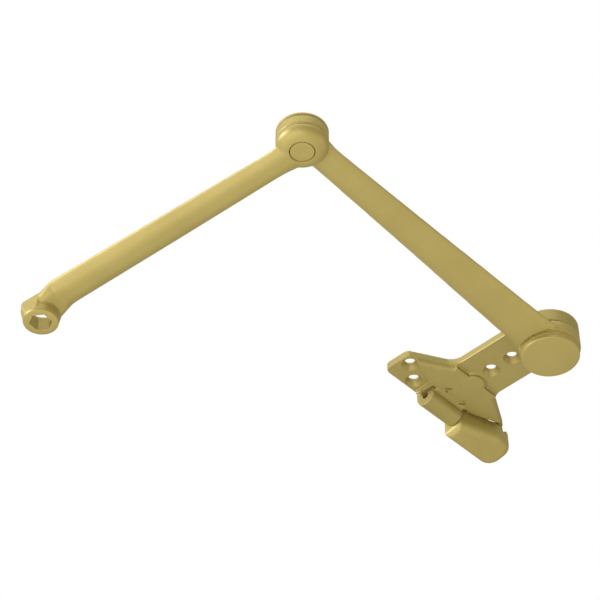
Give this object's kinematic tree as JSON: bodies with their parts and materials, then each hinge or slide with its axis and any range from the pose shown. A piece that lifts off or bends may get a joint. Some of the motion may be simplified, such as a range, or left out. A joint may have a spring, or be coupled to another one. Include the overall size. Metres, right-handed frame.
{
  "type": "door closer arm",
  "caption": "Heavy-duty parallel arm set for a door closer: hex-hub main arm, forearm and soffit shoe with a bolted stop block.",
  "frame": {"origin": "on the shoe's mounting face, where the shoe's pivot axis crosses it", "axes": "+Z out of the mounting face, up into the soffit; +X along the shoe's stem towards its cross-bar; +Y across the stem, towards the elbow at rest"},
  "size_m": [0.2913, 0.4129, 0.0533],
  "materials": {
    "brass_coat": "satin",
    "steel": "satin",
    "bronze": "satin"
  },
  "bodies": {
    "shoe": {"shoe_plate": "brass_coat", "stop_block": "brass_coat", "stop_bolt": "steel", "stop_lock_washer": "steel", "stop_lock_screw": "steel", "pivot_stud": "steel", "pivot_thrust_washer": "bronze", "pivot_wave_washer": "steel", "pivot_lock_nut": "steel", "pivot_cap": "brass_coat", "pivot_snap_ring": "steel"},
    "forearm": {"forearm": "brass_coat", "pivot_bushing": "bronze", "pivot_ring": "brass_coat", "elbow_bushing": "bronze"},
    "main_arm": {"main_arm": "brass_coat", "elbow_pin": "brass_coat", "elbow_thrust_washer": "bronze", "elbow_wave_washer": "steel", "elbow_cap": "brass_coat"}
  },
  "joints": [
    {"name": "shoe_pivot", "type": "hinge", "parent": "shoe", "child": "forearm", "pos_m": [0, 0, -0.018], "axis": [0, 0, 1], "range_deg": [-73, 225.8]},
    {"name": "elbow", "type": "hinge", "parent": "forearm", "child": "main_arm", "pos_m": [-0.00936, 0.29785, -0.025], "axis": [0, 0, 1], "range_deg": [-93.8, 86.2]}
  ]
}
